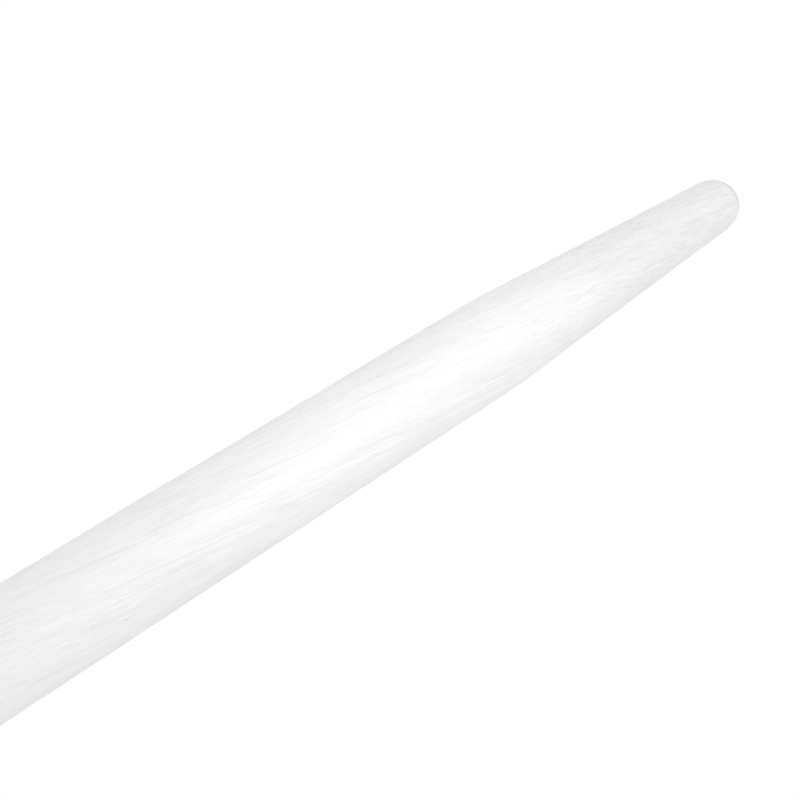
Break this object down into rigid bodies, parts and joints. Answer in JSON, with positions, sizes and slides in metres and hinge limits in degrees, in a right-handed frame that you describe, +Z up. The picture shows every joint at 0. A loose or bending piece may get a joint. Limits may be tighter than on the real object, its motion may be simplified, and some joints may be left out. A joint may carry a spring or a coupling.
{
  "type": "blending stump",
  "caption": "Tightly wound white paper stick with a long slow taper and a round nose at both ends, for smudging and blending pencil, charcoal and pastel.",
  "frame": {"origin": "on the axis of the roll, halfway between the two noses", "axes": "+X along the stick towards one nose, +Z up from the surface that it lies on; the glued lap runs along the +Y side, a little below the middle"},
  "size_m": [0.122, 0.005, 0.005],
  "materials": {
    "white_paper": "matt long-fibred soft paper, ground smooth",
    "twisted_paper": "matt twisted paper",
    "dried_paste": "dried starch paste, matt",
    "lap_glue": "dried white glue, satin"
  },
  "bodies": {
    "root": {"core_pin": "twisted_paper", "wound_sheet": "white_paper", "paste_film": "dried_paste", "lap_glue": "lap_glue"}
  },
  "joints": []
}
